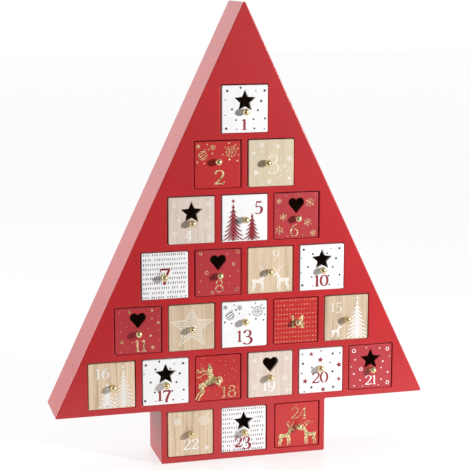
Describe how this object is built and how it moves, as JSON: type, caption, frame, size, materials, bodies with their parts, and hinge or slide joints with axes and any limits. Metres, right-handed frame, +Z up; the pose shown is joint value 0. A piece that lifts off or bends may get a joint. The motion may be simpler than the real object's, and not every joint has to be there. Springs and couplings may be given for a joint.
{
  "type": "wooden advent calendar",
  "caption": "Wooden advent calendar shaped as a fir tree on a trunk, with rows of small numbered drawers that slide out by round brass knobs.",
  "frame": {"origin": "middle of the trunk's underside", "axes": "+Z up the tree, -Y out of the front, +X to the right as seen from the front"},
  "size_m": [0.3524, 0.0604, 0.4216],
  "materials": {
    "red_paint": "satin red lacquer",
    "white_paint": "matt white paint",
    "natural_wood": "sanded light wood",
    "raw_board": "raw fibre board",
    "brass": "polished",
    "steel": "plain"
  },
  "bodies": {
    "case": {"front_panel": "red_paint", "back_panel": "red_paint", "left_slope_wall": "red_paint", "right_slope_wall": "red_paint", "base_board": "red_paint", "trunk_left_wall": "red_paint", "trunk_right_wall": "red_paint", "trunk_floor": "red_paint", "shelves": "raw_board", "dividers": "raw_board", "end_guides": "raw_board", "back_pins": "steel"},
    "drawer_01_body": {"drawer_01": "white_paint", "knob_01": "brass"},
    "drawer_02_body": {"drawer_02": "red_paint", "knob_02": "brass"},
    "drawer_03_body": {"drawer_03": "natural_wood", "knob_03": "brass"},
    "drawer_04_body": {"drawer_04": "natural_wood", "knob_04": "brass"},
    "drawer_05_body": {"drawer_05": "white_paint", "knob_05": "brass"},
    "drawer_06_body": {"drawer_06": "red_paint", "knob_06": "brass"},
    "drawer_07_body": {"drawer_07": "white_paint", "knob_07": "brass"},
    "drawer_08_body": {"drawer_08": "red_paint", "knob_08": "brass"},
    "drawer_09_body": {"drawer_09": "natural_wood", "knob_09": "brass"},
    "drawer_10_body": {"drawer_10": "white_paint", "knob_10": "brass"},
    "drawer_11_body": {"drawer_11": "red_paint", "knob_11": "brass"},
    "drawer_12_body": {"drawer_12": "natural_wood", "knob_12": "brass"},
    "drawer_13_body": {"drawer_13": "white_paint", "knob_13": "brass"},
    "drawer_14_body": {"drawer_14": "red_paint", "knob_14": "brass"},
    "drawer_15_body": {"drawer_15": "natural_wood", "knob_15": "brass"},
    "drawer_16_body": {"drawer_16": "natural_wood", "knob_16": "brass"},
    "drawer_17_body": {"drawer_17": "white_paint", "knob_17": "brass"},
    "drawer_18_body": {"drawer_18": "red_paint", "knob_18": "brass"},
    "drawer_19_body": {"drawer_19": "natural_wood", "knob_19": "brass"},
    "drawer_20_body": {"drawer_20": "white_paint", "knob_20": "brass"},
    "drawer_21_body": {"drawer_21": "red_paint", "knob_21": "brass"},
    "drawer_22_body": {"drawer_22": "natural_wood", "knob_22": "brass"},
    "drawer_23_body": {"drawer_23": "white_paint", "knob_23": "brass"},
    "drawer_24_body": {"drawer_24": "red_paint", "knob_24": "brass"}
  },
  "joints": [
    {"name": "drawer_01_slide", "type": "slide", "parent": "case", "child": "drawer_01_body", "axis": [0, -1, 0], "range_m": [0, 0.04]},
    {"name": "drawer_02_slide", "type": "slide", "parent": "case", "child": "drawer_02_body", "axis": [0, -1, 0], "range_m": [0, 0.04]},
    {"name": "drawer_03_slide", "type": "slide", "parent": "case", "child": "drawer_03_body", "axis": [0, -1, 0], "range_m": [0, 0.04]},
    {"name": "drawer_04_slide", "type": "slide", "parent": "case", "child": "drawer_04_body", "axis": [0, -1, 0], "range_m": [0, 0.04]},
    {"name": "drawer_05_slide", "type": "slide", "parent": "case", "child": "drawer_05_body", "axis": [0, -1, 0], "range_m": [0, 0.04]},
    {"name": "drawer_06_slide", "type": "slide", "parent": "case", "child": "drawer_06_body", "axis": [0, -1, 0], "range_m": [0, 0.04]},
    {"name": "drawer_07_slide", "type": "slide", "parent": "case", "child": "drawer_07_body", "axis": [0, -1, 0], "range_m": [0, 0.04]},
    {"name": "drawer_08_slide", "type": "slide", "parent": "case", "child": "drawer_08_body", "axis": [0, -1, 0], "range_m": [0, 0.04]},
    {"name": "drawer_09_slide", "type": "slide", "parent": "case", "child": "drawer_09_body", "axis": [0, -1, 0], "range_m": [0, 0.04]},
    {"name": "drawer_10_slide", "type": "slide", "parent": "case", "child": "drawer_10_body", "axis": [0, -1, 0], "range_m": [0, 0.04]},
    {"name": "drawer_11_slide", "type": "slide", "parent": "case", "child": "drawer_11_body", "axis": [0, -1, 0], "range_m": [0, 0.04]},
    {"name": "drawer_12_slide", "type": "slide", "parent": "case", "child": "drawer_12_body", "axis": [0, -1, 0], "range_m": [0, 0.04]},
    {"name": "drawer_13_slide", "type": "slide", "parent": "case", "child": "drawer_13_body", "axis": [0, -1, 0], "range_m": [0, 0.04]},
    {"name": "drawer_14_slide", "type": "slide", "parent": "case", "child": "drawer_14_body", "axis": [0, -1, 0], "range_m": [0, 0.04]},
    {"name": "drawer_15_slide", "type": "slide", "parent": "case", "child": "drawer_15_body", "axis": [0, -1, 0], "range_m": [0, 0.04]},
    {"name": "drawer_16_slide", "type": "slide", "parent": "case", "child": "drawer_16_body", "axis": [0, -1, 0], "range_m": [0, 0.04]},
    {"name": "drawer_17_slide", "type": "slide", "parent": "case", "child": "drawer_17_body", "axis": [0, -1, 0], "range_m": [0, 0.04]},
    {"name": "drawer_18_slide", "type": "slide", "parent": "case", "child": "drawer_18_body", "axis": [0, -1, 0], "range_m": [0, 0.04]},
    {"name": "drawer_19_slide", "type": "slide", "parent": "case", "child": "drawer_19_body", "axis": [0, -1, 0], "range_m": [0, 0.04]},
    {"name": "drawer_20_slide", "type": "slide", "parent": "case", "child": "drawer_20_body", "axis": [0, -1, 0], "range_m": [0, 0.04]},
    {"name": "drawer_21_slide", "type": "slide", "parent": "case", "child": "drawer_21_body", "axis": [0, -1, 0], "range_m": [0, 0.04]},
    {"name": "drawer_22_slide", "type": "slide", "parent": "case", "child": "drawer_22_body", "axis": [0, -1, 0], "range_m": [0, 0.04]},
    {"name": "drawer_23_slide", "type": "slide", "parent": "case", "child": "drawer_23_body", "axis": [0, -1, 0], "range_m": [0, 0.04]},
    {"name": "drawer_24_slide", "type": "slide", "parent": "case", "child": "drawer_24_body", "axis": [0, -1, 0], "range_m": [0, 0.04]}
  ]
}
